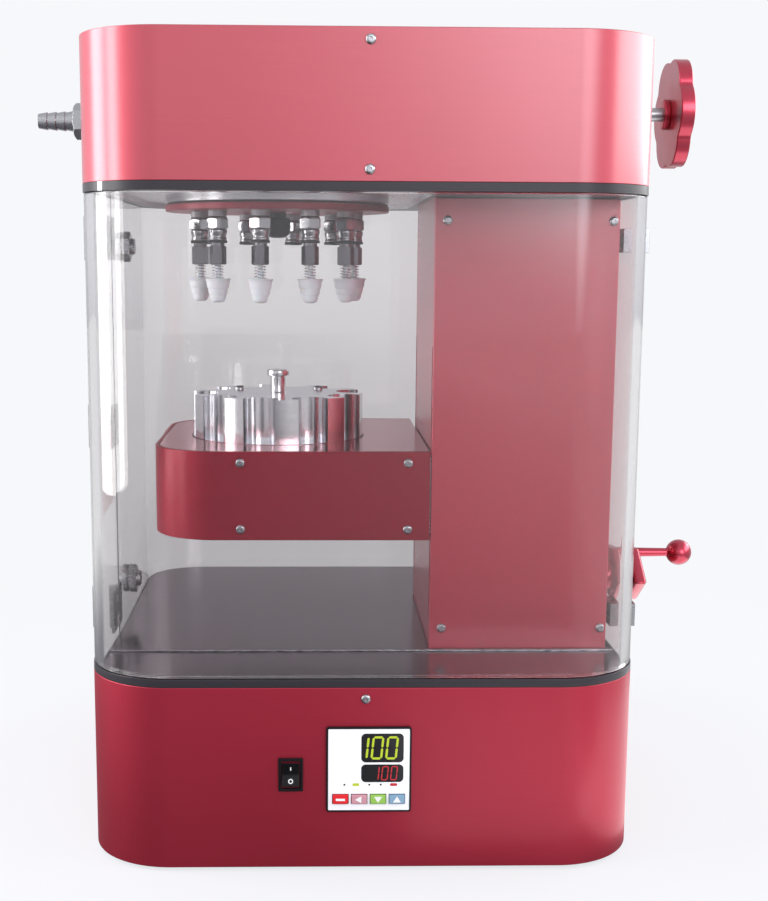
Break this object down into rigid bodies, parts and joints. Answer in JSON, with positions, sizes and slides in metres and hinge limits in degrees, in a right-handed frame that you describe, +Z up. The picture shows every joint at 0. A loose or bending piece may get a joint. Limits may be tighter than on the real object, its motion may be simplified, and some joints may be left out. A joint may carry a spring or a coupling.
{
  "type": "evaporative concentrator",
  "caption": "Bench vacuum concentrator: a lever lifts a heated pocket block to sprung plugs under a manifold, inside clear covers between a red base and a red top housing.",
  "frame": {"origin": "on the bench, under the middle of the housing", "axes": "+X to the right, +Y to the back, +Z up; the front with the door and controls faces -Y"},
  "size_m": [0.4277, 0.2997, 0.4702],
  "materials": {
    "red_anodised": "satin anodised",
    "dark_plate": "satin",
    "steel_tray": "polished",
    "black_rubber": "matt",
    "steel": "bright",
    "chrome": "polished",
    "aluminium": "machined",
    "brass": "machined",
    "black_plastic": "matt",
    "gloss_black": "gloss",
    "white_plug": "matt",
    "key_red": "satin",
    "key_pink": "satin",
    "key_green": "satin",
    "key_blue": "satin",
    "clear": "polished"
  },
  "bodies": {
    "housing": {"base_shell": "red_anodised", "base_plate": "dark_plate", "feet": "black_rubber", "deck_plate": "dark_plate", "floor_tray": "steel_tray", "housing_screws": "steel", "switch_body": "black_plastic", "controller_case": "black_plastic", "power_inlet": "black_plastic", "column_frame": "red_anodised", "column_panel": "red_anodised", "guide_rods": "chrome", "shaft_bearings": "brass", "roof_plate": "dark_plate", "top_shell": "red_anodised", "top_lid": "red_anodised", "manifold_disc": "aluminium", "plug_plate": "red_anodised", "couplers": "chrome", "coupler_rings": "black_rubber", "plug_springs": "steel", "hose_barb": "steel", "valve_body": "brass", "vacuum_line": "aluminium", "rear_cover": "clear", "fixed_hinge_leaves": "steel", "port_plugs": "steel"},
    "door": {"door": "clear", "door_hinge_leaves": "steel", "door_catches": "steel"},
    "arm": {"carriage": "aluminium", "slide_bushes": "brass", "lift_rack": "steel", "arm_cover": "red_anodised", "arm_top": "red_anodised", "arm_screws": "steel", "heater_plate": "aluminium", "heat_block": "aluminium", "block_post": "chrome"},
    "crank": {"pinion_shaft": "steel", "crank_arm": "red_anodised", "crank_handle": "red_anodised"},
    "valve": {"valve_knob": "red_anodised", "valve_stem": "steel"},
    "rocker": {"switch_rocker": "gloss_black"},
    "clamp": {"clamp_knob": "black_plastic"},
    "key_set": {"key_set": "key_red"},
    "key_left": {"key_left": "key_pink"},
    "key_down": {"key_down": "key_green"},
    "key_up": {"key_up": "key_blue"},
    "plug_01": {"plug_01": "white_plug"},
    "plug_02": {"plug_02": "white_plug"},
    "plug_03": {"plug_03": "white_plug"},
    "plug_04": {"plug_04": "white_plug"},
    "plug_05": {"plug_05": "white_plug"},
    "plug_06": {"plug_06": "white_plug"}
  },
  "joints": [
    {"name": "door_swing", "type": "hinge", "parent": "housing", "child": "door", "pos_m": [-0.163, -0.052, 0.2448], "axis": [0, 0, -1], "range_deg": [0, 110]},
    {"name": "arm_lift", "type": "slide", "parent": "housing", "child": "arm", "axis": [0, 0, 1], "range_m": [-0.05, 0.061]},
    {"name": "crank_turn", "type": "hinge", "parent": "housing", "child": "crank", "pos_m": [0.15, -0.038, 0.149], "axis": [1, 0, 0], "range_deg": [-148, 180]},
    {"name": "valve_turn", "type": "hinge", "parent": "housing", "child": "valve", "pos_m": [0.19, 0, 0.4375], "axis": [1, 0, 0], "range_deg": [0, 810]},
    {"name": "switch_rock", "type": "hinge", "parent": "housing", "child": "rocker", "pos_m": [-0.0423, -0.146, 0.0579], "axis": [1, 0, 0], "range_deg": [0, 20]},
    {"name": "clamp_turn", "type": "hinge", "parent": "housing", "child": "clamp", "pos_m": [-0.0525, 0, 0.3725], "axis": [0, 0, 1], "range_deg": [0, 360]},
    {"name": "key_set_press", "type": "slide", "parent": "housing", "child": "key_set", "axis": [0, 1, 0], "range_m": [0, 0.0006], "stiffness_N_per_m": 800},
    {"name": "key_left_press", "type": "slide", "parent": "housing", "child": "key_left", "axis": [0, 1, 0], "range_m": [0, 0.0006], "stiffness_N_per_m": 800},
    {"name": "key_down_press", "type": "slide", "parent": "housing", "child": "key_down", "axis": [0, 1, 0], "range_m": [0, 0.0006], "stiffness_N_per_m": 800},
    {"name": "key_up_press", "type": "slide", "parent": "housing", "child": "key_up", "axis": [0, 1, 0], "range_m": [0, 0.0006], "stiffness_N_per_m": 800},
    {"name": "plug_01_slide", "type": "slide", "parent": "housing", "child": "plug_01", "axis": [0, 0, 1], "range_m": [0, 0.005], "stiffness_N_per_m": 200, "deforming": ["plug_springs"]},
    {"name": "plug_02_slide", "type": "slide", "parent": "housing", "child": "plug_02", "axis": [0, 0, 1], "range_m": [0, 0.005], "stiffness_N_per_m": 200, "deforming": ["plug_springs"]},
    {"name": "plug_03_slide", "type": "slide", "parent": "housing", "child": "plug_03", "axis": [0, 0, 1], "range_m": [0, 0.005], "stiffness_N_per_m": 200, "deforming": ["plug_springs"]},
    {"name": "plug_04_slide", "type": "slide", "parent": "housing", "child": "plug_04", "axis": [0, 0, 1], "range_m": [0, 0.005], "stiffness_N_per_m": 200, "deforming": ["plug_springs"]},
    {"name": "plug_05_slide", "type": "slide", "parent": "housing", "child": "plug_05", "axis": [0, 0, 1], "range_m": [0, 0.005], "stiffness_N_per_m": 200, "deforming": ["plug_springs"]},
    {"name": "plug_06_slide", "type": "slide", "parent": "housing", "child": "plug_06", "axis": [0, 0, 1], "range_m": [0, 0.005], "stiffness_N_per_m": 200, "deforming": ["plug_springs"]}
  ],
  "couplings": [
    {"joint": "crank_turn", "follows": "arm_lift", "rad_per_m": 51.282}
  ]
}
